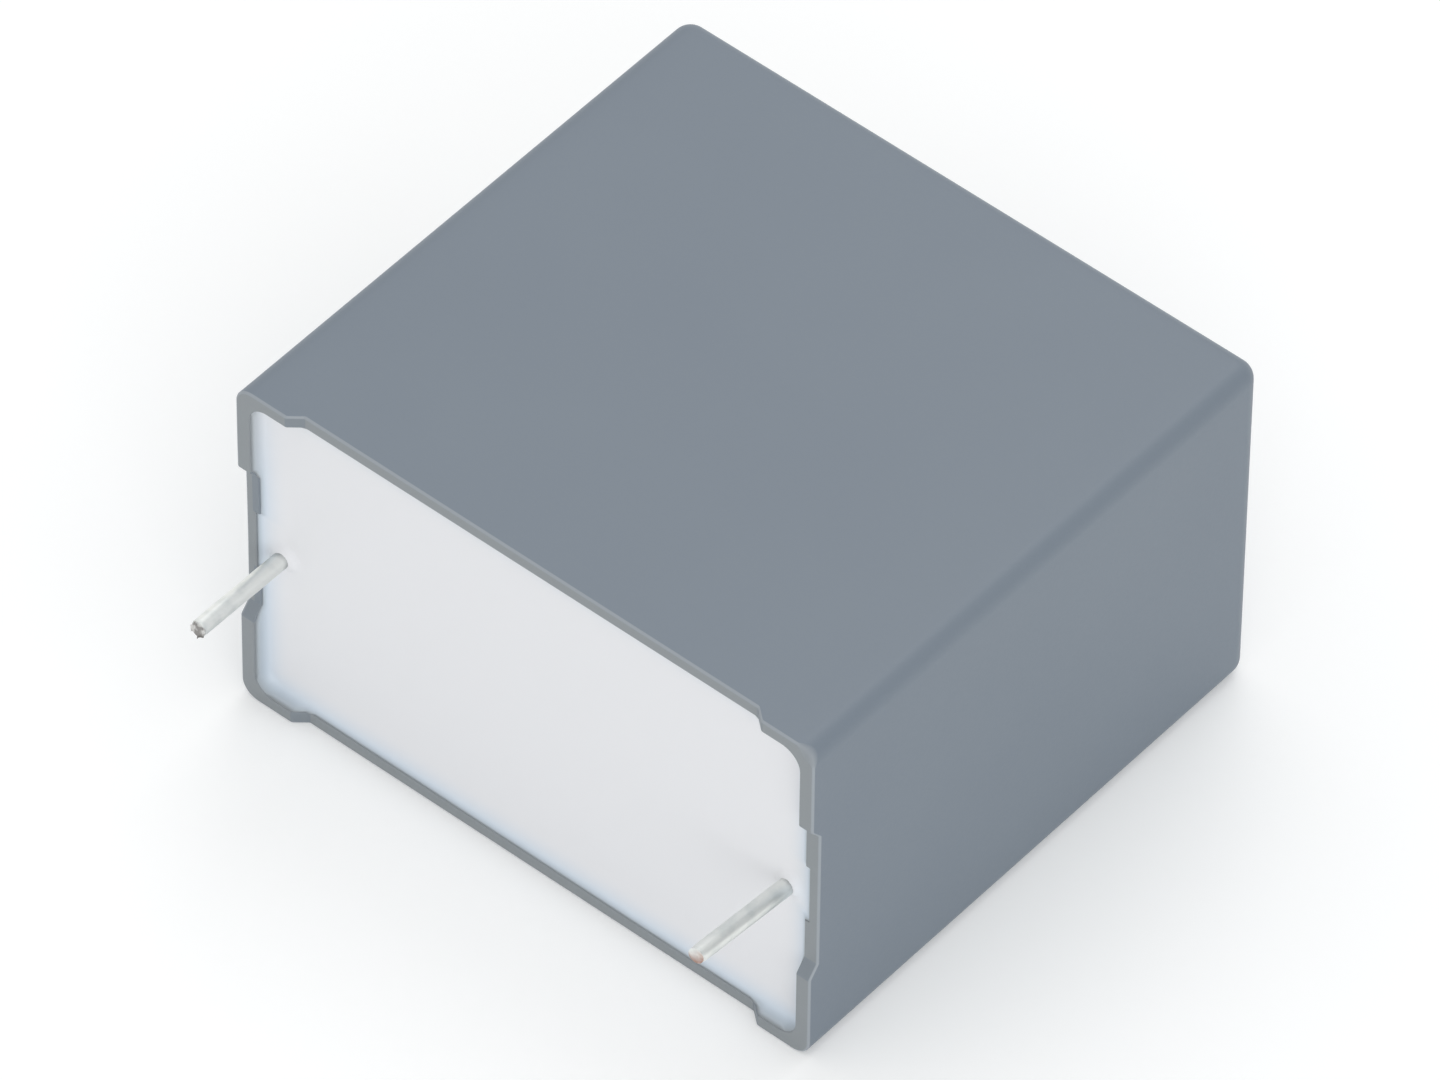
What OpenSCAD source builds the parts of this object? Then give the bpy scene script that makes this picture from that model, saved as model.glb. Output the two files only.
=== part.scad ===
// Box film capacitor with two radial wire leads, lying on one of its wide faces.
// X runs from lead to lead, +Y from the feet to the closed end, and +Z up through the thickness.
// The origin is the middle of the lead pattern, in the plane of the feet.

/* [Lead spacing] */
// Distance between the axes of the two leads
lead_pitch = 27.5; // [22.5:0.5:37.5]
// Distance from the axis of a lead to the outside of the case beside it
lead_inset = 2; // [2:0.1:3]

/* [Case] */
// Height of the case from its feet to its closed end
case_height = 29; // [27:0.5:36]
// Thickness of the case across its two wide faces
case_thickness = 19; // [15:0.5:20]
// Rounding of the outer edges
edge_radius = 0.9; // [0.5:0.1:1.5]
// Wall at the two narrow ends
end_wall = 0.75; // [0.6:0.05:0.9]
// Wall at the two wide faces
side_wall = 0.65; // [0.5:0.05:1.2]
// Wall at the closed end
roof_wall = 0.9; // [0.6:0.1:1.6]
// Rounding of the four upright corners inside
cavity_radius = 1; // [0.5:0.1:2]

/* [Rim] */
// Depth of the relief between the corner feet
relief_depth = 0.5; // [0.3:0.05:0.6]
// Length of the ramp from a foot down to the relief
ramp_length = 0.6; // [0.3:0.05:1.5]
// Length of a corner foot along the wide face
wide_foot = 2.8; // [2:0.1:6]
// Length of a corner foot along the narrow end
narrow_foot = 4.9; // [3:0.1:5.5]
// Width of the guide groove behind each lead
guide_width = 3.35; // [2.5:0.05:5]
// Depth of the guide groove
guide_depth = 0.22; // [0.1:0.01:0.35]

/* [Resin] */
// Depth of the flat resin below the plane of the feet
resin_level = 0.9; // [0.9:0.05:1.5]
// Height that the resin climbs up the walls
wall_climb = 0.25; // [0.1:0.05:0.3]
// Width of the band in which the resin rises to a wall
climb_width = 1.6; // [1:0.1:2.5]
// Height that the resin climbs up each lead
lead_climb = 0.35; // [0.2:0.05:0.4]
// Radius of the resin cone around each lead
lead_cone = 1; // [0.8:0.05:1.1]

/* [Leads] */
// Diameter of the lead wire
lead_diameter = 0.8; // [0.6:0.1:1]
// Length of the leads beyond the feet
lead_length = 5; // [3:0.5:25]
// Thickness of the wire where it is pressed flat for welding
weld_flat = 0.5; // [0.3:0.05:0.55]
// Width of the flattened wire
weld_width = 1; // [0.8:0.1:1.6]
// Length of the neck between the round and the flattened wire
neck_length = 1.4; // [0.8:0.1:2]
// Length of the flattened wire along the metal end layer
weld_length = 15; // [8:0.5:18]

/* [Winding] */
// Resin between the winding and each wide face
winding_side_gap = 1.05; // [0.5:0.05:2]
// Resin between the winding and the resin surface or the closed end
winding_end_gap = 1.3; // [1:0.1:2.5]
// Thickness of the sprayed metal layer on each end of the winding
spray_layer = 0.5; // [0.2:0.05:1]

/* [Hidden] */
$fn = 96;

left = -1;
right = 1;
// How far a cutting shape runs past the face that it opens
past = 1;
// Straight steps that draw the curve of the climbing resin
climb_steps = 7;
// Width of the ring that ends the resin cone at the wire
cone_lip = 0.05;

lead_radius = lead_diameter / 2;
case_length = lead_pitch + 2 * lead_inset;
cavity_length = case_length - 2 * end_wall;
cavity_thickness = case_thickness - 2 * side_wall;
cavity_end = case_height - roof_wall;
contact_level = resin_level - wall_climb;
neck_start = resin_level - lead_climb;
flat_start = neck_start + neck_length;
// The neck ends inside the flattened wire
neck_end_radius = weld_flat / 3;

winding_start = resin_level + winding_end_gap;
winding_height = cavity_end - winding_end_gap - winding_start;
winding_thickness = cavity_thickness - 2 * winding_side_gap;
winding_middle = winding_start + winding_height / 2;
// The flattened wire lies on the outside of the metal end layer
winding_half = lead_pitch / 2 - weld_flat / 2;
film_half = winding_half - spray_layer;

case_grey = [0.51, 0.55, 0.59];
resin_white = [0.88, 0.88, 0.89];
film_silver = [0.78, 0.79, 0.80];
zinc_grey = [0.60, 0.61, 0.62];
tin_silver = [0.80, 0.81, 0.80];

// Extrudes a section drawn in X and Z from y0 to y1
module upright(y0, y1) {
    translate([0, y1, 0]) rotate([90, 0, 0]) linear_extrude(y1 - y0) children();
}

// Extrudes an outline drawn in Y and Z from x0 to x1
module crosswise(x0, x1) {
    translate([x0, 0, 0]) rotate([90, 0, 90]) linear_extrude(x1 - x0) children();
}

module rounded_section(width, height, radius) {
    square([width - 2 * radius, height], center = true);
    square([width, height - 2 * radius], center = true);
    for (sx = [-1, 1], sy = [-1, 1])
        translate([sx * (width / 2 - radius), sy * (height / 2 - radius)]) circle(radius);
}

// A box outline that is square at the feet and rounded at the closed end
module closed_end_outline(width) {
    translate([-width / 2, -past]) square([width, case_height - edge_radius + past]);
    translate([-width / 2 + edge_radius, 0]) square([width - 2 * edge_radius, case_height]);
    for (side = [-1, 1])
        translate([side * (width / 2 - edge_radius), case_height - edge_radius]) circle(edge_radius);
}

module case_outside() {
    intersection() {
        upright(0, case_height) rounded_section(case_length, case_thickness, edge_radius);
        translate([0, 0, -case_thickness / 2])
            linear_extrude(case_thickness) closed_end_outline(case_length);
        crosswise(-case_length / 2, case_length / 2)
            rotate(-90) mirror([1, 0]) closed_end_outline(case_thickness);
    }
}

module cavity_section() {
    rounded_section(cavity_length, cavity_thickness, cavity_radius);
    square([cavity_length + 2 * guide_depth, guide_width], center = true);
}

// The outline of the relief between two feet, for a side of the given width
module relief_outline(width, foot) {
    top = width / 2 - foot;
    floor_half = top - ramp_length;
    polygon([[-top, -past], [top, -past], [top, 0], [floor_half, relief_depth],
             [-floor_half, relief_depth], [-top, 0]]);
}

module case() {
    color(case_grey) difference() {
        case_outside();
        upright(-past, cavity_end) cavity_section();
        translate([0, 0, -case_thickness / 2 - past])
            linear_extrude(case_thickness + 2 * past) relief_outline(case_length, wide_foot);
        crosswise(-case_length / 2 - past, case_length / 2 + past)
            rotate(-90) mirror([1, 0]) relief_outline(case_thickness, narrow_foot);
    }
}

// Level of the resin at a share of the way in from a wall
function climb_level(share) = resin_level - wall_climb * pow(1 - share, 2);

// The space over the resin, seen along a wall, with the resin curving up to both sides
module dish_outline(width) {
    rise = [for (i = [0:climb_steps]) [i * climb_width / climb_steps, climb_level(i / climb_steps)]];
    near = [for (p = rise) [p[0] - width / 2, p[1]]];
    far = [for (i = [climb_steps:-1:0]) [width / 2 - rise[i][0], rise[i][1]]];
    polygon(concat(near, far, [[width / 2, contact_level - past], [-width / 2, contact_level - past]]));
}

module resin_dish() {
    intersection() {
        translate([0, 0, -case_thickness / 2])
            linear_extrude(case_thickness) dish_outline(cavity_length);
        crosswise(-case_length / 2, case_length / 2)
            rotate(-90) mirror([1, 0]) dish_outline(cavity_thickness);
    }
}

// Resin drawn up around a lead
module resin_cone(side) {
    lip = lead_radius + cone_lip;
    curve = [for (i = [0:climb_steps])
        [lip + (lead_cone - lip) * (1 - i / climb_steps), lead_climb * pow(i / climb_steps, 2)]];
    translate([side * lead_pitch / 2, resin_level, 0]) rotate([90, 0, 0])
        rotate_extrude() polygon(concat([[0, -lead_climb], [lead_cone, -lead_climb]], curve,
                                        [[0, lead_climb]]));
}

module potting_resin() {
    color(resin_white) difference() {
        union() {
            difference() {
                upright(contact_level, cavity_end) cavity_section();
                resin_dish();
            }
            resin_cone(left);
            resin_cone(right);
        }
        roll(-winding_half, winding_half);
        lead_form(left);
        lead_form(right);
    }
}

// The flattened roll, with round ends, between two planes along X
module roll(x0, x1) {
    straight = winding_height - winding_thickness;
    crosswise(x0, x1) translate([winding_middle, 0]) {
        square([straight, winding_thickness], center = true);
        for (side = [-1, 1]) translate([side * straight / 2, 0]) circle(d = winding_thickness);
    }
}

module film_winding() {
    color(film_silver) roll(-film_half, film_half);
}

module end_spray_left() {
    color(zinc_grey) roll(-winding_half, -film_half);
}

module end_spray_right() {
    color(zinc_grey) roll(film_half, winding_half);
}

// Round wire outside the resin, a swaged neck, and a flat that is welded to the end layer
module lead_form(side) {
    translate([side * lead_pitch / 2, 0, 0]) {
        translate([0, neck_start, 0]) rotate([90, 0, 0])
            cylinder(r = lead_radius, h = neck_start + lead_length);
        translate([0, neck_start, 0]) rotate([-90, 0, 0])
            cylinder(r1 = lead_radius, r2 = neck_end_radius, h = neck_length);
        translate([-weld_flat / 2, flat_start, -weld_width / 2])
            cube([weld_flat, weld_length, weld_width]);
    }
}

module lead_left() {
    color(tin_silver) lead_form(left);
}

module lead_right() {
    color(tin_silver) lead_form(right);
}

case();
potting_resin();
film_winding();
end_spray_left();
end_spray_right();
lead_left();
lead_right();
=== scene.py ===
"""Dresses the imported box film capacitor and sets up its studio.

The moulded case, the cast resin and the two wire leads are modelled here in full and stand for their
CAD solids. The winding and its sprayed ends, which are sealed inside, keep their CAD shapes and get
finishes of their own. Sizes in the classes are millimetres, and every mesh is written in metres.
"""

import logging
import math
from collections.abc import Callable
from dataclasses import dataclass, field
from enum import Enum
from functools import partial

import bmesh
import bpy
from bpy.types import ID, Material, Node, NodeOutputs, NodeSocket, NodeTree, Object, World
from mathutils import Matrix, Vector


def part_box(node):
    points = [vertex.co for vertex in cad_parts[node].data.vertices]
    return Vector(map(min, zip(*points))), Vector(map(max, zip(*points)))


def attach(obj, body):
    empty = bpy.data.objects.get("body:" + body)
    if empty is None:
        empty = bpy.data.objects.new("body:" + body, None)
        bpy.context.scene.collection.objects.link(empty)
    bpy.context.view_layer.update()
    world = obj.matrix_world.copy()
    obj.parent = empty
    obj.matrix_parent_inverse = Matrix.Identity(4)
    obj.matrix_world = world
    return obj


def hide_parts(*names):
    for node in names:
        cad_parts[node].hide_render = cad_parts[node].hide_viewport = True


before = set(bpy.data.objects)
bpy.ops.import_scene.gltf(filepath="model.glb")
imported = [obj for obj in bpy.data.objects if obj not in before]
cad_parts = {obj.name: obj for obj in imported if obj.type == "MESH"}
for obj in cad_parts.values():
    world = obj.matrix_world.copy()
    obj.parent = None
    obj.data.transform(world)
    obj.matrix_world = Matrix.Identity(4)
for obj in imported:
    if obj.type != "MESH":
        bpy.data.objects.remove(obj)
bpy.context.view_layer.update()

MM = 0.001
# Points closer than this, in millimetres, are one point
SAME_POINT = 0.0004
log = logging.getLogger("capacitor")

# The kinds of node that many trees share
MATH = "ShaderNodeMath"
MIX = "ShaderNodeMix"
MAP_RANGE = "ShaderNodeMapRange"
NOISE = "ShaderNodeTexNoise"
COORDS = "ShaderNodeTexCoord"
STORED = "ShaderNodeAttribute"
BUMP = "ShaderNodeBump"
PRINCIPLED = "ShaderNodeBsdfPrincipled"
OUTPUT = "ShaderNodeOutputMaterial"

# What adds nodes to one tree, and the sizes that a geometry tree takes
Maker = Callable[..., Node]
Sizes = dict[str, float | Vector]


class Side(Enum):
    """The two ends of the part, by the sign of X."""

    LEFT = -1
    RIGHT = 1


# -------- helpers


def linear(code: str) -> tuple[float, float, float, float]:
    """Turns an sRGB hex colour into the linear colour that a shader takes.

    Args:
        code: the colour, such as "#8899aa".

    Returns:
        Red, green, blue and an alpha of 1.
    """
    parts = [int(code[i:i + 2], 16) / 255 for i in (1, 3, 5)]
    return (*(p / 12.92 if p <= 0.04045 else ((p + 0.055) / 1.055) ** 2.4 for p in parts), 1.0)


def add_node(tree: NodeTree, kind: str, inputs: dict | None = None, **settings) -> Node:
    """Adds a node to a tree.

    Args:
        tree: the shader or geometry tree.
        kind: the node's type.
        inputs: what each input gets, by its name or number: a value, a colour as an sRGB hex code, a
            socket to link, or a node, which links its first enabled output.
        settings: the node's own properties.

    Returns:
        The new node.
    """
    node = tree.nodes.new(kind)
    for name, value in settings.items():
        setattr(node, name, value)
    # Disabled inputs can share a name with an enabled one, and of several the first is meant
    named = {socket.name: socket for socket in reversed(node.inputs.values()) if socket.enabled}
    for key, value in (inputs or {}).items():
        socket = named.get(key) or node.inputs[key]
        if isinstance(value, Node):
            value = next(output for output in value.outputs if output.enabled)
        if isinstance(value, NodeSocket):
            tree.links.new(value, socket)
        elif isinstance(value, str) and value.startswith("#"):
            socket.default_value = linear(value)
        else:
            socket.default_value = value
    return node


def new_nodes(owner: Material | World) -> Maker:
    """Gives a material or a world an empty node tree.

    Args:
        owner: the material or the world.

    Returns:
        add_node for its tree.
    """
    owner.use_nodes = True
    owner.node_tree.nodes.clear()
    return partial(add_node, owner.node_tree)


def new_material(name: str) -> tuple[Material, Maker]:
    """Makes an empty node material and returns it with add_node for its tree."""
    material = bpy.data.materials.new(name)
    return material, new_nodes(material)


def merge(bm: bmesh.types.BMesh) -> None:
    """Merges the points that coincide in a mesh in millimetres, and removes the empty faces."""
    bmesh.ops.remove_doubles(bm, verts=bm.verts, dist=SAME_POINT)
    bmesh.ops.dissolve_degenerate(bm, edges=bm.edges, dist=SAME_POINT / 2)


def add_object(name: str, data: ID) -> Object:
    """Adds an object to the scene.

    Args:
        name: its name.
        data: its mesh, curve, camera or light.

    Returns:
        The object.
    """
    thing = bpy.data.objects.new(name, data)
    bpy.context.scene.collection.objects.link(thing)
    return thing


def mesh_object(name: str, bm: bmesh.types.BMesh) -> Object:
    """Turns a bmesh in millimetres into an object in metres, smooth and facing outwards.

    Args:
        name: the piece's name.
        bm: the mesh, which is freed.

    Returns:
        The object, linked to the scene.
    """
    merge(bm)
    bmesh.ops.recalc_face_normals(bm, faces=bm.faces)
    bmesh.ops.scale(bm, vec=(MM, MM, MM), verts=bm.verts)
    for face in bm.faces:
        face.smooth = True
    mesh = bpy.data.meshes.new(name)
    bm.to_mesh(mesh)
    bm.free()
    return add_object(name, mesh)


def new_tree(name: str, sizes: Sizes) -> tuple[NodeTree, Maker, NodeOutputs]:
    """Starts a geometry tree with a named input for each size.

    Args:
        name: the tree's name.
        sizes: the sizes by input name, each a number or a place.

    Returns:
        The tree, add_node for it, and its input sockets.
    """
    tree = bpy.data.node_groups.new(name, "GeometryNodeTree")
    for way in ("OUTPUT", "INPUT"):
        tree.interface.new_socket("Geometry", in_out=way, socket_type="NodeSocketGeometry")
    for label, value in sizes.items():
        kind = "NodeSocketVector" if isinstance(value, Vector) else "NodeSocketFloat"
        tree.interface.new_socket(label, in_out="INPUT", socket_type=kind)
    return tree, partial(add_node, tree), add_node(tree, "NodeGroupInput").outputs


def end_tree(node: Maker, shape: Node, material: Material) -> None:
    """Ends a geometry tree: shades the shape smooth, makes it real and gives it its material.

    Args:
        node: add_node for the tree.
        shape: the last node of the shape.
        material: the material.
    """
    smooth = node("GeometryNodeSetShadeSmooth", {0: shape})
    real = node("GeometryNodeRealizeInstances", {0: smooth})
    dressed = node("GeometryNodeSetMaterial", {"Geometry": real, "Material": material})
    node("NodeGroupOutput", {0: dressed})


def grown(blank: Object, tree: NodeTree, sizes: Sizes) -> Object:
    """Runs a geometry tree on a blank and keeps the result as a plain mesh.

    Args:
        blank: the object that carries the input shape; it is removed.
        tree: the geometry tree.
        sizes: the value of each named input.

    Returns:
        A mesh object with the blank's name.
    """
    modifier = blank.modifiers.new("shape", "NODES")
    modifier.node_group = tree
    for item in tree.interface.items_tree:
        if item.name in sizes:
            modifier[item.identifier] = sizes[item.name]
    name = blank.name
    blank.name = name + "_blank"
    graph = bpy.context.evaluated_depsgraph_get()
    mesh = bpy.data.meshes.new_from_object(blank.evaluated_get(graph), depsgraph=graph)
    mesh.name = name
    piece = add_object(name, mesh)
    bpy.data.objects.remove(blank)
    return piece


def seen_ray(node: Maker) -> Node:
    """Adds the nodes that pick out what the eye sees, also in a mirror or through glass.

    Args:
        node: add_node for the tree.

    Returns:
        The node that gives 1 for it, and 0 for the rest.
    """
    ray = node("ShaderNodeLightPath").outputs
    seen = node(MATH, {0: ray["Is Camera Ray"], 1: ray["Is Glossy Ray"]}, operation="MAXIMUM")
    return node(MATH, {0: seen, 1: ray["Is Transmission Ray"]}, operation="MAXIMUM")


def place(piece: Object, node: str) -> None:
    """Rides a piece on the part and the CAD node that it stands for, and logs it.

    Args:
        piece: the finished object.
        node: the CAD node that it replaces.
    """
    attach(piece, "root")
    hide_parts(node)
    log.info("%s: %d faces, stands for %s", piece.name, len(piece.data.polygons), node)


# -------- finishes


@dataclass(frozen=True)
class MouldedPolyester:
    """Flame-retardant polyester, injection moulded in a finely eroded tool: satin, with a faint grain."""

    body: str = "#717c87"
    drift: str = "#6d7884"
    land: str = "#848a8e"
    # The colour of the painted highlight along the rim's outer lip
    painted_highlight: str = "#939aa1"
    grain_mm: float = 0.16
    grain_depth_mm: float = 0.02
    drift_mm: float = 9.0
    grain_relief: float = 0.25
    smoothest: float = 0.42
    roughest: float = 0.5
    ior: float = 1.55

    def build(self) -> Material:
        """Returns the case's material."""
        material, node = new_material("moulded_polyester")
        where = node(COORDS).outputs["Object"]
        clouds = node(NOISE, {"Vector": where, "Scale": 1 / (self.drift_mm * MM), "Detail": 2.0})
        grain = node(NOISE, {"Vector": where, "Scale": 1 / (self.grain_mm * MM), "Detail": 3.0})
        land = node(STORED, attribute_name="rim_land")
        # A painted highlight lightens the rim's outer lip
        edge = node(STORED, attribute_name="rubbed_edge")
        body = node(MIX, {"Factor": clouds, "A": self.body, "B": self.drift}, data_type="RGBA")
        rim = node(MIX, {"Factor": land.outputs["Fac"], "A": body, "B": self.land}, data_type="RGBA")
        colour = node(MIX, {"Factor": edge.outputs["Fac"], "A": rim, "B": self.painted_highlight}, data_type="RGBA")
        rough = node(MAP_RANGE, {"Value": grain, "To Min": self.smoothest, "To Max": self.roughest})
        relief = node(
            BUMP, {"Height": grain, "Strength": self.grain_relief, "Distance": self.grain_depth_mm * MM})
        skin = node(
            PRINCIPLED, {"Base Color": colour, "Roughness": rough, "Normal": relief, "IOR": self.ior})
        node(OUTPUT, {"Surface": skin})
        return material


@dataclass(frozen=True)
class CastResin:
    """White-filled resin, poured and cured: smooth and slightly glossy, with painted shade along its walls.
    """

    body: str = "#e3e4e7"
    # The colour of the painted shade along the walls
    thin: str = "#c3d3e2"
    # The colour of the painted shade in the crease where the resin climbs the wall
    wall: str = "#a3aaaf"
    ripple_mm: float = 4.0
    ripple_depth_mm: float = 0.08
    ripple_relief: float = 0.2
    tint_falloff: float = 2.6
    # The painted shade along the walls is full below the first height and fades to the last share above the
    # second
    shade_fade_from_mm: float = 3.0
    shade_fade_to_mm: float = 8.6
    upper_shade: float = 0.25
    roughness: float = 0.34
    ior: float = 1.5

    def build(self) -> Material:
        """Returns the resin's material, which reads the wall_share and the share clear of painted crease
        shade that its tree stores.
        """
        material, node = new_material("cast_resin")
        where = node(COORDS).outputs["Object"]
        share = node(STORED, attribute_name="wall_share")
        patch = node(NOISE, {"Vector": where, "Scale": 1 / (self.ripple_mm * MM), "Detail": 2.0})
        cover = node(STORED, attribute_name="cover")
        # Painted shade greys the resin along the walls, strongest towards the lower wide wall and fading
        # towards the upper one
        height = node("ShaderNodeSeparateXYZ", {0: where}).outputs["Z"]
        lean = node(
            MAP_RANGE, {
                "Value": height, "From Min": self.shade_fade_from_mm * MM, "From Max": self.shade_fade_to_mm * MM,
                "To Min": 1.0, "To Max": self.upper_shade})
        near = node(MATH, {0: share.outputs["Fac"], 1: self.tint_falloff}, operation="POWER")
        tint = node(MATH, {0: near, 1: lean}, operation="MULTIPLY")
        shaded_resin = node(MIX, {"Factor": tint, "A": self.body, "B": self.thin}, data_type="RGBA")
        # Painted shade greys the resin further in the crease where it climbs the wall
        colour = node(MIX, {"Factor": cover.outputs["Fac"], "A": self.wall, "B": shaded_resin}, data_type="RGBA")
        relief = node(
            BUMP, {"Height": patch, "Strength": self.ripple_relief, "Distance": self.ripple_depth_mm * MM})
        skin = node(
            PRINCIPLED,
            {"Base Color": colour, "Roughness": self.roughness, "Normal": relief, "IOR": self.ior})
        node(OUTPUT, {"Surface": skin})
        return material


@dataclass(frozen=True)
class TinnedCopper:
    """Drawn copper wire, hot-dip tinned: bright, with fine marks along it, and bare where it was cut."""

    name: str
    tin: str = "#e8eae7"
    worn_tin: str = "#d9dddb"
    # The colour of the painted shade where the wire leaves the resin
    root_shade: str = "#8f9294"
    cut: str = "#c6b3aa"
    smear: str = "#a98b80"
    streak_mm: float = 0.09
    streak_stretch: float = 20.0
    blotch_mm: float = 0.7
    worn_from: float = 0.45
    worn_to: float = 0.72
    smear_from: float = 0.5
    smear_to: float = 0.58
    root_shade_from_mm: float = 0.7
    root_shade_to_mm: float = 1.1
    root_shade_stray_mm: float = 0.9
    root_shade_cover: float = 0.7
    mark_depth_mm: float = 0.02
    mark_relief: float = 0.3
    smoothest: float = 0.32
    roughest: float = 0.54

    def build(self) -> Material:
        """Returns the wire's material, which reads the cut_face that the wire's tree stores."""
        material, node = new_material(self.name)
        where = node(COORDS).outputs["Object"]
        # Drawing marks run along the wire, so their pattern is stretched along Y
        along = node("ShaderNodeMapping", {"Vector": where, "Scale": (1.0, 1 / self.streak_stretch, 1.0)})
        marks = node(NOISE, {"Vector": along, "Scale": 1 / (self.streak_mm * MM), "Detail": 3.0})
        blotch = node(NOISE, {"Vector": where, "Scale": 1 / (self.blotch_mm * MM), "Detail": 4.0})
        cut = node(STORED, attribute_name="cut_face")
        dull = node(MAP_RANGE, {"Value": blotch, "From Min": self.worn_from, "From Max": self.worn_to})
        coat = node(MIX, {"Factor": dull, "A": self.tin, "B": self.worn_tin}, data_type="RGBA")
        # Painted shade darkens the wire where it leaves the resin
        axes = node("ShaderNodeSeparateXYZ", {0: where}).outputs
        stray = node(MATH, {0: blotch, 1: self.root_shade_stray_mm * MM, 2: axes["Y"]}, operation="MULTIPLY_ADD")
        foot = node(
            MAP_RANGE, {
                "Value": stray, "From Min": self.root_shade_from_mm * MM, "From Max": self.root_shade_to_mm * MM,
                "To Max": self.root_shade_cover})
        root_shaded = node(MIX, {"Factor": foot, "A": coat, "B": self.root_shade}, data_type="RGBA")
        # The cutter smeared tin over part of the cut and left the rest dark
        dark = node(MAP_RANGE, {"Value": blotch, "From Min": self.smear_from, "From Max": self.smear_to})
        bare = node(MIX, {"Factor": dark, "A": self.cut, "B": self.smear}, data_type="RGBA")
        colour = node(MIX, {"Factor": cut.outputs["Fac"], "A": root_shaded, "B": bare}, data_type="RGBA")
        rough = node(MAP_RANGE, {"Value": marks, "To Min": self.smoothest, "To Max": self.roughest})
        relief = node(
            BUMP, {"Height": marks, "Strength": self.mark_relief, "Distance": self.mark_depth_mm * MM})
        skin = node(
            PRINCIPLED, {"Base Color": colour, "Roughness": rough, "Normal": relief, "Metallic": 1.0})
        node(OUTPUT, {"Surface": skin})
        return material


@dataclass(frozen=True)
class MetallisedFilm:
    """Polypropylene film with a vapour-deposited metal layer, wound and pressed: silvery, with fine lines."""

    film: str = "#c8cacd"
    gap: str = "#a7abb1"
    line_mm: float = 0.4 * math.pi
    line_waver: float = 1.5
    roughness: float = 0.3

    def build(self) -> Material:
        """Returns the winding's material, with its turns drawn as lines far coarser than the real film."""
        material, node = new_material("metallised_film")
        where = node(COORDS).outputs["Object"]
        # At a scale of 1 the wave texture draws 20 lines in 2 pi metres
        scale = math.tau / (20 * self.line_mm * MM)
        turns = node(
            "ShaderNodeTexWave", {"Vector": where, "Scale": scale, "Distortion": self.line_waver},
            bands_direction="Z")
        colour = node(MIX, {"Factor": turns.outputs["Fac"], "A": self.film, "B": self.gap}, data_type="RGBA")
        skin = node(PRINCIPLED, {"Base Color": colour, "Roughness": self.roughness, "Metallic": 1.0})
        node(OUTPUT, {"Surface": skin})
        return material


@dataclass(frozen=True)
class SprayedZinc:
    """Zinc flame-sprayed on the ends of the roll: dull grey, with the grain of frozen droplets."""

    light: str = "#a3a5a8"
    dark: str = "#86898d"
    droplet_mm: float = 0.15
    droplet_depth_mm: float = 0.05
    droplet_relief: float = 0.6
    roughness: float = 0.62

    def build(self) -> Material:
        """Returns the sprayed layer's material."""
        material, node = new_material("sprayed_zinc")
        where = node(COORDS).outputs["Object"]
        drops = node("ShaderNodeTexVoronoi", {"Vector": where, "Scale": 1 / (self.droplet_mm * MM)})
        colour = node(MIX, {"Factor": drops, "A": self.light, "B": self.dark}, data_type="RGBA")
        relief = node(
            BUMP, {"Height": drops, "Strength": self.droplet_relief, "Distance": self.droplet_depth_mm * MM})
        skin = node(
            PRINCIPLED,
            {"Base Color": colour, "Roughness": self.roughness, "Metallic": 1.0, "Normal": relief})
        node(OUTPUT, {"Surface": skin})
        return material


# -------- the part


@dataclass(frozen=True)
class Station:
    """One place on the way round the rim, with what the wall's section needs there.

    Attributes:
        outer: the point on the outside of the case, as X and Z.
        inner: the point on the cavity's wall.
        outward: the direction out of the case.
        inset: the direction in which the closed face shrinks there.
        level: the rim's Y.
        sink: how far the thin end wall is drawn in.
        lip: the rounding of the rim's outer edge.
        land: 1 where the rim is flat, and less on a ramp.
        inner_land: the same for the inner half of the rim, and less where painted shade darkens it.
    """

    outer: Vector
    inner: Vector
    outward: Vector
    inset: Vector
    level: float = 0.0
    sink: float = 0.0
    lip: float = 0.11
    land: float = 1.0
    inner_land: float = 1.0


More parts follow.
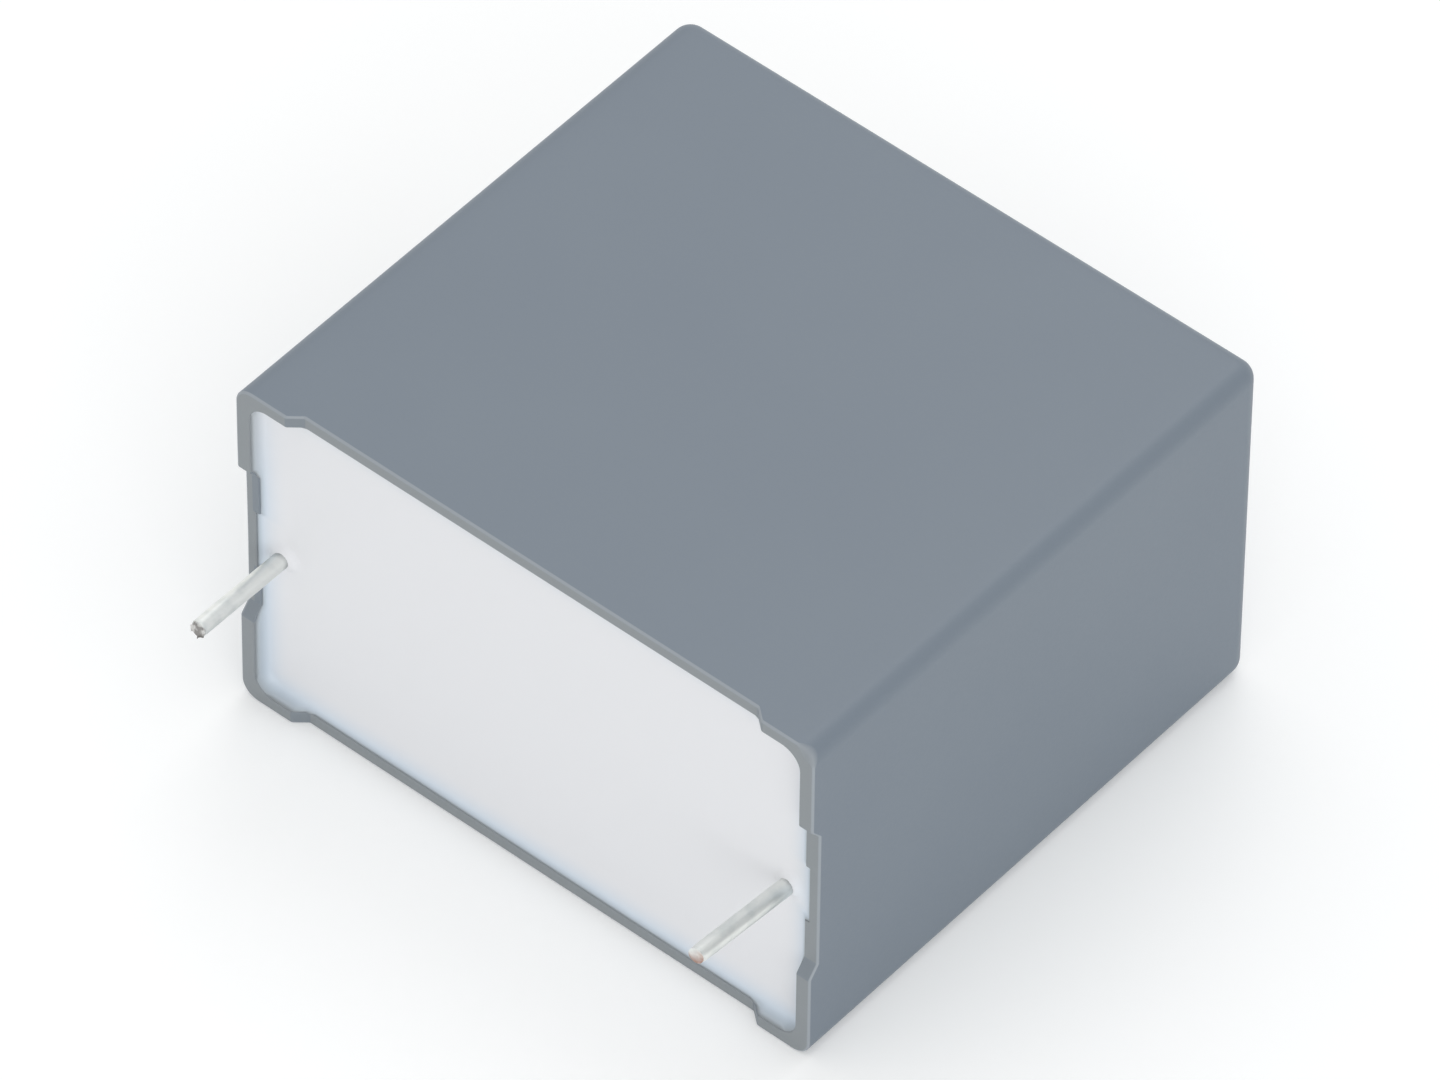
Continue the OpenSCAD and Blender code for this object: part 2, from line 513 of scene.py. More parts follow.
@dataclass
class MouldedCase:
    """The open-ended case: wall by wall round the rim, each with its feet, ramps, relief and guide groove."""

    edge_radius: float = 0.9
    cavity_radius: float = 1.0
    relief_depth: float = 0.5
    ramp_length: float = 0.6
    wide_foot: float = 2.8
    narrow_foot: float = 4.9
    guide_width: float = 3.35
    guide_depth: float = 0.22
    outer_lip: float = 0.11
    rubbed_corner: float = 0.36
    # How fully the painted highlight fills the rim's outer lip
    painted_highlight_gain: float = 1.6
    ramp_land: float = 0.5
    # The land share left where painted shade darkens the inner half of the rim
    painted_shade_land: float = 0.3
    inner_lip: float = 0.06
    hold: float = 0.04
    inner_band: float = 0.4
    ramp_blend: float = 0.07
    ramp_steps: int = 4
    lip_steps: int = 6
    end_wall_sink: float = 0.04
    sink_reach: float = 7.0
    arc_steps: int = 12
    half_length: float = field(init=False)
    half_thickness: float = field(init=False)
    height: float = field(init=False)
    cavity_half_length: float = field(init=False)
    cavity_half_thickness: float = field(init=False)
    cavity_end: float = field(init=False)

    def __post_init__(self) -> None:
        """Takes the outer and inner sizes from the CAD solids."""
        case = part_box("case")[1] / MM
        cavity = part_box("potting_resin")[1] / MM
        self.half_length, self.height, self.half_thickness = case
        self.cavity_half_length = cavity.x - self.guide_depth
        self.cavity_end, self.cavity_half_thickness = cavity.y, cavity.z

    def rim_level(self, t: float, narrow: bool) -> float:
        """Returns the rim's Y on a wall.

        Args:
            t: the place along the wall, measured from its middle.
            narrow: whether it is a narrow end wall.

        Returns:
            0 on a foot, the relief's depth between the feet, and what lies between on a ramp.
        """
        half, foot = (self.half_thickness, self.narrow_foot) if narrow else (self.half_length, self.wide_foot)
        share = (half - foot - abs(t)) / self.ramp_length
        return self.relief_depth * min(1.0, max(0.0, share))

    def guide_reach(self, t: float) -> float:
        """Returns how much deeper the guide groove makes the narrow wall at t, measured from its middle."""
        return self.guide_depth if abs(t) <= self.guide_width / 2 else 0.0

    def ramp(self, top: float) -> list[tuple[float, float]]:
        """Lists the rim's line from the relief up to a foot.

        Args:
            top: where the foot begins, measured from the middle of the wall.

        Returns:
            Pairs of place and level, with both bends of the ramp rounded.
        """
        floor = top - self.ramp_length
        slope = Vector((self.ramp_length, -self.relief_depth)).normalized() * self.ramp_blend
        line = []
        for corner, before, after in (
            (Vector((floor, self.relief_depth)), Vector((-self.ramp_blend, 0)), slope),
            (Vector((top, 0)), -slope, Vector((self.ramp_blend, 0)))):
            for step in range(self.ramp_steps + 1):
                u = step / self.ramp_steps
                point = corner + (1 - u) ** 2 * before + u ** 2 * after
                line.append((point.x, point.y))
        return line

    def wall_line(self, narrow: bool) -> list[tuple[float, float]]:
        """Lists the rim's line along one wall.

        Args:
            narrow: whether it is a narrow end wall.

        Returns:
            Pairs of place and level, from end to end.
        """
        half, foot = (self.half_thickness, self.narrow_foot) if narrow else (self.half_length, self.wide_foot)
        end = (self.cavity_half_thickness if narrow else self.cavity_half_length) - self.cavity_radius
        ramp = self.ramp(half - foot)
        flat_end, foot_start = ramp[0][0], ramp[-1][0]
        flats = [flat_end * share for share in (0.2, 0.62, 0.8)]
        if narrow:
            edge = self.guide_width / 2
            flats = [edge - 0.5, edge - self.hold, edge, edge + self.hold / 2, edge + 2 * self.hold, edge + 1]
        feet = [foot_start + (end - foot_start) * share for share in (0.35, 0.7)]
        right = [(t, self.relief_depth) for t in flats] + ramp + [(t, 0.0) for t in feet]
        return [(-t, level) for t, level in reversed(right)] + [(0.0, self.relief_depth)] + right

    def stations(self) -> list[Station]:
        """Lists the stations once round the rim.

        Returns:
            The stations, anticlockwise from the right-hand wall.
        """
        found = []
        inner_size = Vector((self.cavity_half_length, self.cavity_half_thickness))
        outer_size = Vector((self.half_length, self.half_thickness))
        for quarter, outward in enumerate(map(Vector, ((1, 0), (0, 1), (-1, 0), (0, -1)))):
            along = Vector((-outward.y, outward.x))
            narrow = quarter % 2 == 0
            axis = 0 if narrow else 1
            drawn = self.end_wall_sink if quarter == 2 else 0.0
            for t, level in self.wall_line(narrow):
                reach = self.guide_reach(t) if narrow else 0.0
                bow = math.cos(math.pi / 2 * t / outer_size[1 - axis]) ** 4
                flat = 1.0 if level in (0.0, self.relief_depth) else self.ramp_land
                # Painted shade darkens the inner half of the left end wall's rim relief, outside the guide
                # groove
                dull = quarter == 2 and level == self.relief_depth and not reach
                found.append(Station(
                    outer=outward * outer_size[axis] + along * t,
                    inner=outward * (inner_size[axis] + reach) + along * t,
                    outward=outward, inset=outward, level=level, sink=drawn * bow, lip=self.outer_lip,
                    land=flat, inner_land=self.painted_shade_land if dull else flat))
            corner = outward + along
            outer_centre = Vector(a * (size - self.edge_radius) for a, size in zip(corner, outer_size))
            inner_centre = Vector(a * (size - self.cavity_radius) for a, size in zip(corner, inner_size))
            for step in range(self.arc_steps + 1):
                turn = (quarter + step / self.arc_steps) * math.pi / 2
                ray = Vector((math.cos(turn), math.sin(turn)))
                # One corner of the rim left the tool with its edge rounded off
                worn = self.rubbed_corner * math.sin(math.pi * step / self.arc_steps) if quarter == 0 else 0.0
                found.append(Station(
                    outer=outer_centre + ray * self.edge_radius,
                    inner=inner_centre + ray * self.cavity_radius,
                    outward=ray, inset=corner, lip=self.outer_lip + worn))
        return found

    def section(self, at: Station) -> list[tuple[Vector, float, float, float]]:
        """Lists the wall's section at a station, from the cavity's end over the rim to the closed end.

        Args:
            at: the station.

        Returns:
            The place in X and Z, the Y, the share of rim_land and the share of the painted highlight along
            the rim's outer lip.
        """
        arc = [math.pi / 2 * i / self.lip_steps for i in range(self.lip_steps + 1)]
        middle = at.inner + (at.outer - at.inner) * 0.5
        blend = at.outward * self.hold / 2
        line = [(at.inner, self.cavity_end, 0.0, 0.0),
                (at.inner, at.level + self.inner_band, 0.0, 0.0),
                (at.inner, at.level + self.inner_lip + self.hold, at.inner_land, 0.0)]
        line += [(at.inner + at.outward * self.inner_lip * (1 - math.cos(a)),
                  at.level + self.inner_lip * (1 - math.sin(a)), at.inner_land, 0.0) for a in arc]
        line += [(at.inner + at.outward * (self.inner_lip + self.hold), at.level, at.inner_land, 0.0),
                 (middle - blend, at.level, at.inner_land, 0.0),
                 (middle + blend, at.level, at.land, 0.0),
                 (at.outer - at.outward * (at.lip + self.hold), at.level, at.land, 0.0)]
        # The painted highlight is strongest halfway round the lip, and fainter where the lip is worn wide
        line += [(at.outer - at.outward * at.lip * (1 - math.cos(a)),
                  at.level + at.lip * (1 - math.sin(a)), at.land * math.sin(a),
                  min(1.0, self.painted_highlight_gain * math.sin(2 * a)) * self.outer_lip / at.lip)
                 for a in reversed(arc)]
        shoulder = self.height - self.edge_radius
        levels = [at.level + at.lip + self.hold, 3 * self.relief_depth]
        levels += [self.sink_reach * share for share in (0.4, 0.7, 1.0)] + [shoulder - self.hold]
        line += [(at.outer, y, 0.0, 0.0) for y in levels]
        bend = [math.pi / 2 * i / self.arc_steps for i in range(self.arc_steps + 1)]
        line += [(at.outer - at.outward * self.edge_radius * (1 - math.cos(a)),
                  shoulder + self.edge_radius * math.sin(a), 0.0, 0.0) for a in bend]
        line.append((at.outer - at.outward * self.edge_radius - at.inset * self.hold, self.height, 0.0, 0.0))
        return line

    def build(self, finish: MouldedPolyester) -> Object:
        """Lofts the section through every station and closes both ends.

        Args:
            finish: the case's finish.

        Returns:
            The case.
        """
        bm = bmesh.new()
        land = bm.verts.layers.float.new("rim_land")
        # Each point's share of the painted highlight along the rim's outer lip
        painted_highlight = bm.verts.layers.float.new("rubbed_edge")
        rings = []
        for at in self.stations():
            ring = []
            for spot, y, on_land, on_edge in self.section(at):
                fade = max(0.0, 1 - y / self.sink_reach) ** 2
                spot = spot - at.outward * at.sink * fade
                vert = bm.verts.new((spot.x, y, spot.y))
                vert[land], vert[painted_highlight] = on_land, on_edge
                ring.append(vert)
            rings.append(ring)
        for ring, after in zip(rings, rings[1:] + rings[:1]):
            for i in range(len(ring) - 1):
                bm.faces.new((ring[i], ring[i + 1], after[i + 1], after[i]))
        bm.faces.new([ring[0] for ring in rings])
        bm.faces.new([ring[-1] for ring in rings])
        piece = mesh_object("moulded_case", bm)
        piece.data.materials.append(finish.build())
        place(piece, "case")
        return piece


@dataclass
class WireLead:
    """One lead: round wire outside the resin, which leans a little, and a flattened stretch inside it."""

    side: Side
    weld_flat: float = 0.5
    weld_width: float = 1.0
    neck_start: float = 0.55
    neck_length: float = 1.4
    exit_level: float = 0.9
    exit_out: float = 0.18
    exit_down: float = 0.5
    tip_down: float = 0.15
    cut_slant: float = 0.12
    cut_pinch: float = -0.08
    cut_rag: float = 0.03
    cut_reach: float = 0.35
    cut_mark: float = 0.012
    cut_grain: float = 0.4
    cut_bevel: float = 0.05
    hair: float = 0.0005
    ring_step: float = 0.1
    ring_points: int = 40
    radius: float = field(init=False)
    middle: float = field(init=False)
    tip: float = field(init=False)
    weld_end: float = field(init=False)

    def __post_init__(self) -> None:
        """Takes the wire's radius, place and ends from its CAD solid."""
        low, high = (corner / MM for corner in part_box(self.node))
        self.radius = (high.x - low.x) / 2
        self.middle = (high.x + low.x) / 2
        self.tip, self.weld_end = low.y, high.y

    @property
    def node(self) -> str:
        """The CAD node that this lead stands for."""
        return f"lead_{self.side.name.lower()}"

    def centre(self, y: float) -> Vector:
        """Finds the wire's centre at a level: straight at the weld, and eased over to its exit.

        Args:
            y: the level.

        Returns:
            The centre.
        """
        ease_end = self.neck_start + self.neck_length
        share = min(1.0, max(0.0, (ease_end - y) / (ease_end - self.exit_level)))
        eased = share * share * (3 - 2 * share)
        outside = max(0.0, (self.exit_level - y) / (self.exit_level - self.tip))
        out = self.exit_out * eased * (1 - outside)
        down = self.exit_down * eased + (self.tip_down - self.exit_down) * outside
        return Vector((self.middle + self.side.value * out, y, -down))

    def path(self) -> list[tuple[Vector, float]]:
        """Lists the points that the wire follows.

        Returns:
            Each point, with the share of the wire's full radius there.
        """
        count = round((self.weld_end - self.tip) / self.ring_step)
        levels = [self.weld_end + (self.tip - self.weld_end) * i / count for i in range(count)]
        line = [(self.centre(y), 1.0) for y in levels]
        for step in range(1, 5):
            turn = math.pi / 2 * step / 4
            y = self.tip + self.cut_bevel * (1 - math.sin(turn))
            line.append((self.centre(y), 1 - self.cut_bevel / self.radius * (1 - math.cos(turn))))
        # Rings close the face, each a hair further out, because a swept curve needs some length
        face = 1 - self.cut_bevel / self.radius
        line += [(self.centre(self.tip - self.hair * i), face * share)
                 for i, share in enumerate((0.8, 0.6, 0.4, 0.2, 0.02), start=1)]
        return line

    def sizes(self) -> Sizes:
        """Lists the sizes that the wire's tree takes, in metres."""
        return {
            "Radius": self.radius * MM, "Flat share": self.weld_flat / (2 * self.radius),
            "Width share": self.weld_width / (2 * self.radius), "Neck start": self.neck_start * MM,
            "Neck end": (self.neck_start + self.neck_length) * MM, "Middle": self.middle * MM,
            "Tip": self.tip * MM, "Cut reach": self.cut_reach * MM, "Slant": self.cut_slant,
            "Pinch": self.cut_pinch, "Rag": self.cut_rag * MM,
            "Set back": (abs(self.cut_slant) * self.radius + self.cut_rag / 4) * MM,
            "Mark": self.cut_mark * MM, "Grain": 1 / (self.cut_grain * MM)}

    def tree(self, finish: TinnedCopper) -> NodeTree:
        """Builds the geometry tree that sweeps the wire, presses its weld flat and cuts its end.

        Args:
            finish: the wire's finish.

        Returns:
            The tree.
        """
        tree, node, size = new_tree(f"{self.node}_wire", self.sizes())
        ring = node(
            "GeometryNodeCurvePrimitiveCircle", {"Resolution": self.ring_points, "Radius": size["Radius"]})
        swept = node(
            "GeometryNodeCurveToMesh", {"Curve": size["Geometry"], "Profile Curve": ring, "Fill Caps": True})
        spot = node("GeometryNodeInputPosition")
        axes = node("ShaderNodeSeparateXYZ", {0: spot}).outputs
        # The cut shows bare metal, on the face and as far up the side as the mark reaches
        lip = node(MATH, {0: size["Tip"], 1: size["Mark"]}, operation="ADD")
        face = node(MAP_RANGE, {"Value": axes["Y"], 1: lip, 2: size["Tip"]})
        marked = node(
            "GeometryNodeStoreNamedAttribute", {"Geometry": swept, "Name": "cut_face", "Value": face})
        # Pressed flat for the weld: thinner along X, wider along Z
        press = node(
            MAP_RANGE, {"Value": axes["Y"], 1: size["Neck start"], 2: size["Neck end"]},
            interpolation_type="SMOOTHSTEP")
        thin = node(MAP_RANGE, {"Value": press, 3: 1.0, 4: size["Flat share"]})
        wide = node(MAP_RANGE, {"Value": press, 3: 1.0, 4: size["Width share"]})
        off = node(MATH, {0: axes["X"], 1: size["Middle"]}, operation="SUBTRACT")
        thinned = node(MATH, {0: off, 1: thin, 2: size["Middle"]}, operation="MULTIPLY_ADD")
        widened = node(MATH, {0: axes["Z"], 1: wide}, operation="MULTIPLY")
        pressed = node("ShaderNodeCombineXYZ", {0: thinned, 1: axes["Y"], 2: widened})
        flat = node("GeometryNodeSetPosition", {"Geometry": marked, "Position": pressed})
        # The cutter slants the end, pinches it and leaves it a little ragged
        near = node(MATH, {0: size["Tip"], 1: size["Cut reach"]}, operation="ADD")
        nearness = node(
            MAP_RANGE, {"Value": axes["Y"], 1: near, 2: size["Tip"]}, interpolation_type="SMOOTHSTEP")
        rough = node(NOISE, {"Vector": spot, "Scale": size["Grain"], "Detail": 2.0})
        centred = node(
            "ShaderNodeVectorMath", {0: rough.outputs["Color"], 1: (0.5, 0.5, 0.5)}, operation="SUBTRACT")
        ragged = node("ShaderNodeVectorMath", {0: centred, "Scale": size["Rag"]}, operation="SCALE")
        # The face is set back by as much as the slant and the rag push out, so the lead gets no longer
        slant = node(MATH, {0: off, 1: size["Slant"], 2: size["Set back"]}, operation="MULTIPLY_ADD")
        pinch = node(MATH, {0: off, 1: size["Pinch"]}, operation="MULTIPLY")
        shear = node("ShaderNodeCombineXYZ", {0: pinch, 1: slant})
        both = node("ShaderNodeVectorMath", {0: ragged, 1: shear})
        shift = node("ShaderNodeVectorMath", {0: both, "Scale": nearness}, operation="SCALE")
        cut = node("GeometryNodeSetPosition", {"Geometry": flat, "Offset": shift})
        end_tree(node, cut, finish.build())
        return tree

    def build(self, finish: TinnedCopper) -> Object:
        """Sweeps the wire along its path.

        Args:
            finish: the wire's finish.

        Returns:
            The lead.
        """
        line = self.path()
        curve = bpy.data.curves.new(self.node, "CURVE")
        curve.dimensions = "3D"
        spline = curve.splines.new("POLY")
        spline.points.add(len(line) - 1)
        for point, (spot, share) in zip(spline.points, line):
            point.co = (*(spot * MM), 1)
            point.radius = share
        blank = add_object(f"tinned_lead_{self.side.name.lower()}", curve)
        piece = grown(blank, self.tree(finish), self.sizes())
        place(piece, self.node)
        return piece


@dataclass
class CastFilling:
    """The resin that fills the case, and climbs the leads and, as a thin film, the walls."""

    level: float = 0.9
    wall_climb: float = 0.25
    film_short: float = 0.07
    climb_width: float = 1.6
    film_width: float = 0.32
    lead_climb: float = 0.3
    lead_cone: float = 1.0
    ripple: float = 0.02
    ripple_length: float = 5.0
    groove_line: float = 0.02
    fine: float = 0.09
    coarse: float = 0.42

    @staticmethod
    def graded(stops: list[tuple[float, float]]) -> list[float]:
        """Lists grid lines between stops.

        Args:
            stops: each stop's place and the spacing that leads up to it.

        Returns:
            The places of the lines, in order.
        """
        lines = [stops[0][0]]
        for (start, _), (end, spacing) in zip(stops, stops[1:]):
            count = max(1, round((end - start) / spacing))
            lines += [start + (end - start) * (i + 1) / count for i in range(count)]
        return lines

    def blank(self, case: MouldedCase, leads: list[WireLead]) -> Object:
        """Makes the flat-topped block that the tree shapes, fitted to the case's cavity.

        Args:
            case: the case, for the cavity's outline.
            leads: the leads, for where the grid is fine.

        Returns:
            The block, with its top and its upper edge marked.
        """
        length, thickness = case.cavity_half_length, case.cavity_half_thickness
        groove, guide = length + case.guide_depth, case.guide_width / 2
        lead = abs(leads[0].centre(self.level).x) - self.lead_cone
        drop = leads[0].centre(self.level).z
        # One line runs along each side of a guide groove, so that its corners stay sharp
        xs = self.graded([
            (-groove, 0), (-length, self.fine), (-lead, self.fine), (lead, self.coarse),
            (length, self.fine), (groove, self.fine)])
        zs = self.graded([
            (-thickness, 0), (self.climb_width - thickness, self.fine), (drop - self.lead_cone, self.coarse),
            (-guide, self.fine), (guide, self.fine), (guide + self.groove_line, self.fine),
            (thickness - self.climb_width, self.coarse), (thickness, self.fine)])
        zs = sorted(set(zs) | {-guide - self.groove_line})
        bm = bmesh.new()
        rows = [[bm.verts.new(self.fitted(x, z, case)) for z in zs] for x in xs]
        for row, after in zip(rows, rows[1:]):
            for i in range(len(zs) - 1):
                bm.faces.new((row[i], row[i + 1], after[i + 1], after[i]))
        merge(bm)
        top = bm.verts.layers.float.new("surface")
        film = bm.verts.layers.float.new("film")
        for vert in bm.verts:
            vert[top] = 1.0
            vert[film] = self.film_height(vert.co, case) * MM
        edge = bm.edges.layers.int.new("at_wall")
        border = [e for e in bm.edges if e.is_boundary]
        for e in border:
            e[edge] = 1
        skirt = bmesh.ops.extrude_edge_only(bm, edges=border)["geom"]
        for item in skirt:
            if isinstance(item, bmesh.types.BMVert):
                item.co.y = case.cavity_end
                item[top] = 0.0
            elif isinstance(item, bmesh.types.BMEdge):
                item[edge] = 0
        bmesh.ops.contextual_create(bm, geom=[e for e in bm.edges if e.is_boundary])
        return mesh_object("cast_resin", bm)

    def film_height(self, spot: Vector, case: MouldedCase) -> float:
        """Returns how far the film climbs past the meniscus on the wall nearest to a point.

        Args:
            spot: the point.
            case: the case, for its walls and the level of its rim.

        Returns:
            The film's height.
        """
        narrow = case.cavity_half_length - abs(spot.x) < case.cavity_half_thickness - abs(spot.z)
        rim = case.rim_level(spot.z if narrow else spot.x, narrow)
        return max(0.0, self.level - self.wall_climb - self.film_short - rim)

    def fitted(self, x: float, z: float, case: MouldedCase) -> Vector:
        """Moves a grid point that falls outside the cavity onto its wall.

        Args:
            x: the point's X.
            z: the point's Z.
            case: the case, for the cavity's outline.

        Returns:
            The point on the resin's level.
        """
        if abs(z) <= case.guide_width / 2 + SAME_POINT:
            return Vector((x, self.level, z))
        radius = case.cavity_radius
        x = math.copysign(min(abs(x), case.cavity_half_length), x)
        across = abs(x) - case.cavity_half_length + radius
        up = abs(z) - case.cavity_half_thickness + radius
        away = math.hypot(across, up)
        if across > 0 and up > 0 and away > radius:
            x = math.copysign(abs(x) - across + across * radius / away, x)
            z = math.copysign(abs(z) - up + up * radius / away, z)
        return Vector((x, self.level, z))

    def sizes(self, leads: list[WireLead]) -> Sizes:
        """Lists the sizes that the resin's tree takes, in metres, and where each lead comes out."""
        exits = {lead.side: lead.centre(self.level) * MM for lead in leads}
        return {
            "Wall climb": self.wall_climb * MM, "Climb width": self.climb_width * MM,
            "Film width": self.film_width * MM, "Lead climb": self.lead_climb * MM,
            "Wire radius": leads[0].radius * MM, "Cone radius": self.lead_cone * MM,
            "Ripple": self.ripple * MM, "Left exit": exits[Side.LEFT], "Right exit": exits[Side.RIGHT]}

    def tree(self, finish: CastResin, sizes: Sizes) -> NodeTree:
        """Builds the geometry tree that raises the surface towards the walls and the leads.

        Args:
            finish: the resin's finish.
            sizes: the tree's sizes, by input name.

        Returns:
            The tree.
        """
        tree, node, size = new_tree("meniscus", sizes)
        top = node("GeometryNodeInputNamedAttribute", {"Name": "surface"})
        climb = node("GeometryNodeInputNamedAttribute", {"Name": "film"})
        wall = node("GeometryNodeInputNamedAttribute", {"Name": "at_wall"}, data_type="INT")
        outline = node(
            "GeometryNodeSeparateGeometry", {"Geometry": size["Geometry"], "Selection": wall}, domain="EDGE")
        to_wall = node("GeometryNodeProximity", {0: outline}, target_element="EDGES")
        share = node(MAP_RANGE, {"Value": to_wall.outputs["Distance"], 1: size["Climb width"], 2: 0.0})
        film = node(MAP_RANGE, {"Value": to_wall.outputs["Distance"], 1: size["Film width"], 2: 0.0})
        curve = node(MATH, {0: share, 1: 2.0}, operation="POWER")
        lip = node(MATH, {0: film, 1: 2.0}, operation="POWER")
        rise = node(MATH, {0: curve, 1: size["Wall climb"]}, operation="MULTIPLY")
        edge = node(MATH, {0: lip, 1: climb, 2: rise}, operation="MULTIPLY_ADD")
        # Painted shade in the crease where the film climbs the wall: 0 at the wall, 1 clear of the film
        cover = node(MATH, {0: 1.0, 1: lip}, operation="SUBTRACT")
        exits = node(
            "GeometryNodeMeshLine",
            {"Count": 2, "Start Location": size["Left exit"], "Offset": size["Right exit"]},
            mode="END_POINTS")
        to_lead = node("GeometryNodeProximity", {0: exits}, target_element="POINTS")
        nearness = node(
            MAP_RANGE,
            {"Value": to_lead.outputs["Distance"], 1: size["Cone radius"], 2: size["Wire radius"]})
        cone = node(MATH, {0: nearness, 1: 2.0}, operation="POWER")
        total = node(MATH, {0: cone, 1: size["Lead climb"], 2: edge}, operation="MULTIPLY_ADD")
        swell = node(NOISE, {"Scale": 1 / (self.ripple_length * MM), "Detail": 1.0})
        wave = node(MATH, {0: swell, 1: size["Ripple"], 2: total}, operation="MULTIPLY_ADD")
        up = node(MATH, {0: wave, 1: -1.0}, operation="MULTIPLY")
        offset = node("ShaderNodeCombineXYZ", {1: up})
        shape = size["Geometry"]
        for name, value in (("wall_share", share), ("cover", cover)):
            shape = node(
                "GeometryNodeStoreNamedAttribute", {"Geometry": shape, "Name": name, "Value": value})
        shaped = node("GeometryNodeSetPosition", {"Geometry": shape, "Selection": top, "Offset": offset})
        end_tree(node, shaped, finish.build())
        return tree

    def build(self, case: MouldedCase, leads: list[WireLead], finish: CastResin) -> Object:
        """Shapes the block into the cured filling.

        Args:
            case: the case that it fills.
            leads: the leads that it climbs.
            finish: the resin's finish.

        Returns:
            The filling.
        """
        sizes = self.sizes(leads)
        piece = grown(self.blank(case, leads), self.tree(finish, sizes), sizes)
        place(piece, "potting_resin")
        return piece


@dataclass
class SealedWinding:
    """The film roll and its sprayed ends, which keep their CAD shapes."""

    film: MetallisedFilm = MetallisedFilm()
    spray: SprayedZinc = SprayedZinc()

    def dress(self) -> None:
        """Gives the roll and both sprayed ends their finishes."""
        zinc = self.spray.build()
        for node, material in (
            ("film_winding", self.film.build()), ("end_spray_left", zinc), ("end_spray_right", zinc)):
            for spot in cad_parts[node].material_slots:
                spot.material = material
            log.info("%s: keeps its CAD shape", node)


# -------- the studio


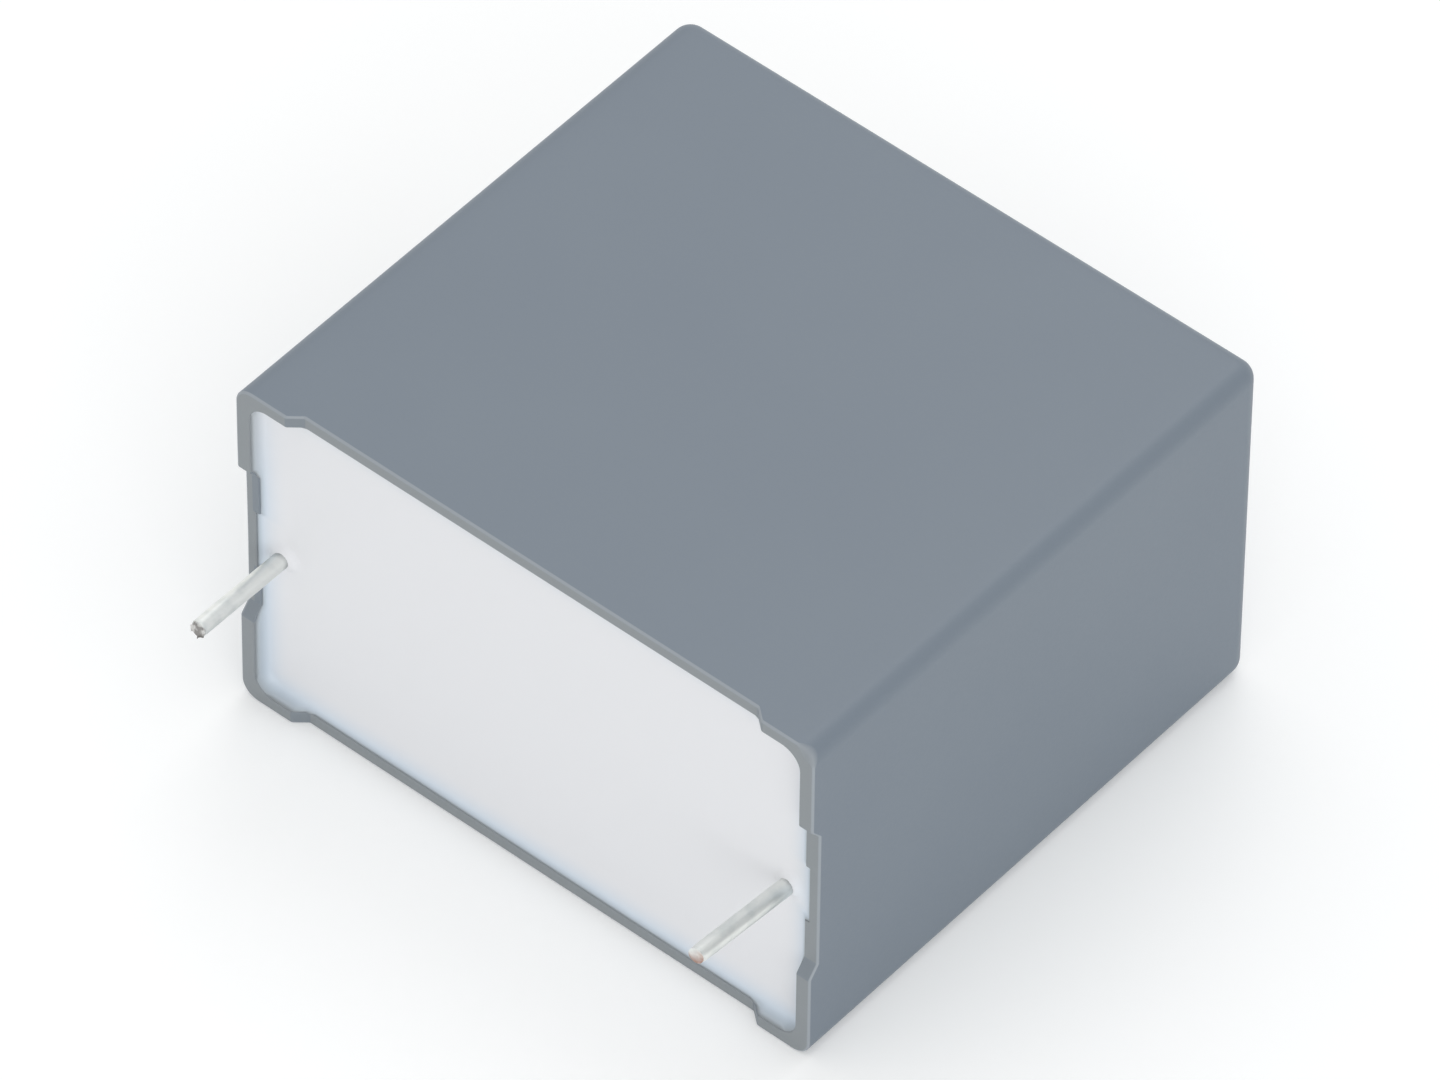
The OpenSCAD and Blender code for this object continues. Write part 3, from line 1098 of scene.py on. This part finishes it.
@dataclass
class Studio:
    """A pale floor, a white surround, soft lamps and a long-lens camera."""

    azimuth: float = 39.934
    elevation: float = 47.404
    roll: float = -0.675
    distance: float = 636.6
    aim: tuple[float, float, float] = (-0.642, 13.470, -0.347)
    lens: float = 378.38
    sensor: float = 36.0
    floor_radius: float = 4000.0
    floor_colour: str = "#f4f5f5"
    paper_lift: float = 0.14
    sky_strength: float = 0.8
    card_colour: str = "#bcbfc2"
    card_toward: tuple[float, float, float] = (0.77, 0.52, 0.37)
    card_distance: float = 420.0
    card_half: float = 200.0

    def camera(self) -> None:
        """Sets the camera at its azimuth, elevation, distance and roll round the aim."""
        data = bpy.data.cameras.new("camera")
        data.lens, data.sensor_width = self.lens, self.sensor
        data.clip_start, data.clip_end = 0.01, 20.0
        camera = add_object("camera", data)
        turn = (Matrix.Rotation(math.radians(self.azimuth), 4, "Z")
                @ Matrix.Rotation(math.radians(90 - self.elevation), 4, "X")
                @ Matrix.Rotation(math.radians(-self.roll), 4, "Z"))
        aim = Matrix.Translation(Vector(self.aim) * MM)
        camera.matrix_world = aim @ turn @ Matrix.Translation((0, 0, self.distance * MM))
        bpy.context.scene.camera = camera

    def paper(self) -> Material:
        """Returns the floor's white paper, which is lifted to white where the eye or a mirror sees it."""
        material, node = new_material("white_paper")
        matte = node("ShaderNodeBsdfDiffuse", {"Color": self.floor_colour})
        glow = node(MATH, {0: seen_ray(node), 1: self.paper_lift}, operation="MULTIPLY")
        lift = node("ShaderNodeEmission", {"Strength": glow})
        both = node("ShaderNodeAddShader", {0: matte, 1: lift})
        node(OUTPUT, {"Surface": both})
        return material

    def floor(self) -> None:
        """Lays the round floor under the part."""
        bm = bmesh.new()
        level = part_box("case")[0].z / MM
        bmesh.ops.create_circle(
            bm, cap_ends=True, segments=96, radius=self.floor_radius,
            matrix=Matrix.Translation((0, 0, level)))
        ground = mesh_object("floor", bm)
        ground.data.materials.append(self.paper())

    def surround(self) -> None:
        """Sets the world: an even sky for light, and plain white to the eye and in reflections."""
        world = bpy.data.worlds.new("surround")
        bpy.context.scene.world = world
        node = new_nodes(world)
        level = node(MAP_RANGE, {"Value": seen_ray(node), 3: self.sky_strength, 4: 1.0})
        sky = node("ShaderNodeBackground", {"Color": (1, 1, 1, 1), "Strength": level})
        node("ShaderNodeOutputWorld", {"Surface": sky})

    def grey_card(self) -> None:
        """Stands a grey card behind the part, which only reflections show, so that its long edge reads."""
        material, node = new_material("grey_card")
        matte = node("ShaderNodeEmission", {"Color": self.card_colour})
        node(OUTPUT, {"Surface": matte})
        bm = bmesh.new()
        toward = Vector(self.card_toward).normalized()
        turn = toward.to_track_quat("Z", "Y").to_matrix().to_4x4()
        bmesh.ops.create_grid(
            bm, x_segments=1, y_segments=1, size=self.card_half,
            matrix=Matrix.Translation(toward * self.card_distance) @ turn)
        card = mesh_object("grey_card", bm)
        card.data.materials.append(material)
        card.visible_camera = card.visible_diffuse = card.visible_shadow = False

    def lamp(self, name: str, azimuth: float, elevation: float, distance: float, size: float,
             watts: float) -> None:
        """Hangs one soft square lamp that faces the part.

        Args:
            name: the lamp's name.
            azimuth: where it stands, in the camera's sense of azimuth.
            elevation: its height above the horizon, in degrees.
            distance: how far away it hangs, in millimetres.
            size: its side, in millimetres.
            watts: its power.
        """
        data = bpy.data.lights.new(name, "AREA")
        data.shape, data.size, data.energy = "SQUARE", size * MM, watts
        lamp = add_object(name, data)
        turn = (Matrix.Rotation(math.radians(azimuth), 4, "Z")
                @ Matrix.Rotation(math.radians(90 - elevation), 4, "X"))
        lamp.matrix_world = turn @ Matrix.Translation((0, 0, distance * MM))
        lamp.visible_camera = False

    def build(self) -> None:
        """Sets up the floor, the surround, the lamps and the camera."""
        self.camera()
        self.floor()
        self.surround()
        self.grey_card()
        self.lamp("overhead_softbox", azimuth=195, elevation=56, distance=350, size=240, watts=0.23)
        self.lamp("front_softbox", azimuth=48, elevation=21, distance=600, size=400, watts=0.8)
        self.lamp("low_fill", azimuth=48, elevation=7, distance=220, size=120, watts=0.024)
        bpy.context.scene.view_settings.view_transform = "Standard"


def main() -> None:
    """Builds the studio and the part, piece by piece."""
    logging.basicConfig(level=logging.INFO, format="%(name)s: %(message)s")
    Studio().build()
    case = MouldedCase()
    case.build(MouldedPolyester())
    leads = [
        WireLead(Side.LEFT, cut_rag=0.45, cut_slant=-0.1, cut_pinch=-0.05, cut_mark=0.18, cut_grain=0.28),
        WireLead(Side.RIGHT)]
    leads[0].build(TinnedCopper("tinned_wire_ragged", cut="#d6d5d3", smear="#8c8987"))
    leads[1].build(TinnedCopper("tinned_wire_clean"))
    CastFilling().build(case, leads, CastResin())
    SealedWinding().dress()


if __name__ == "__main__":
    main()
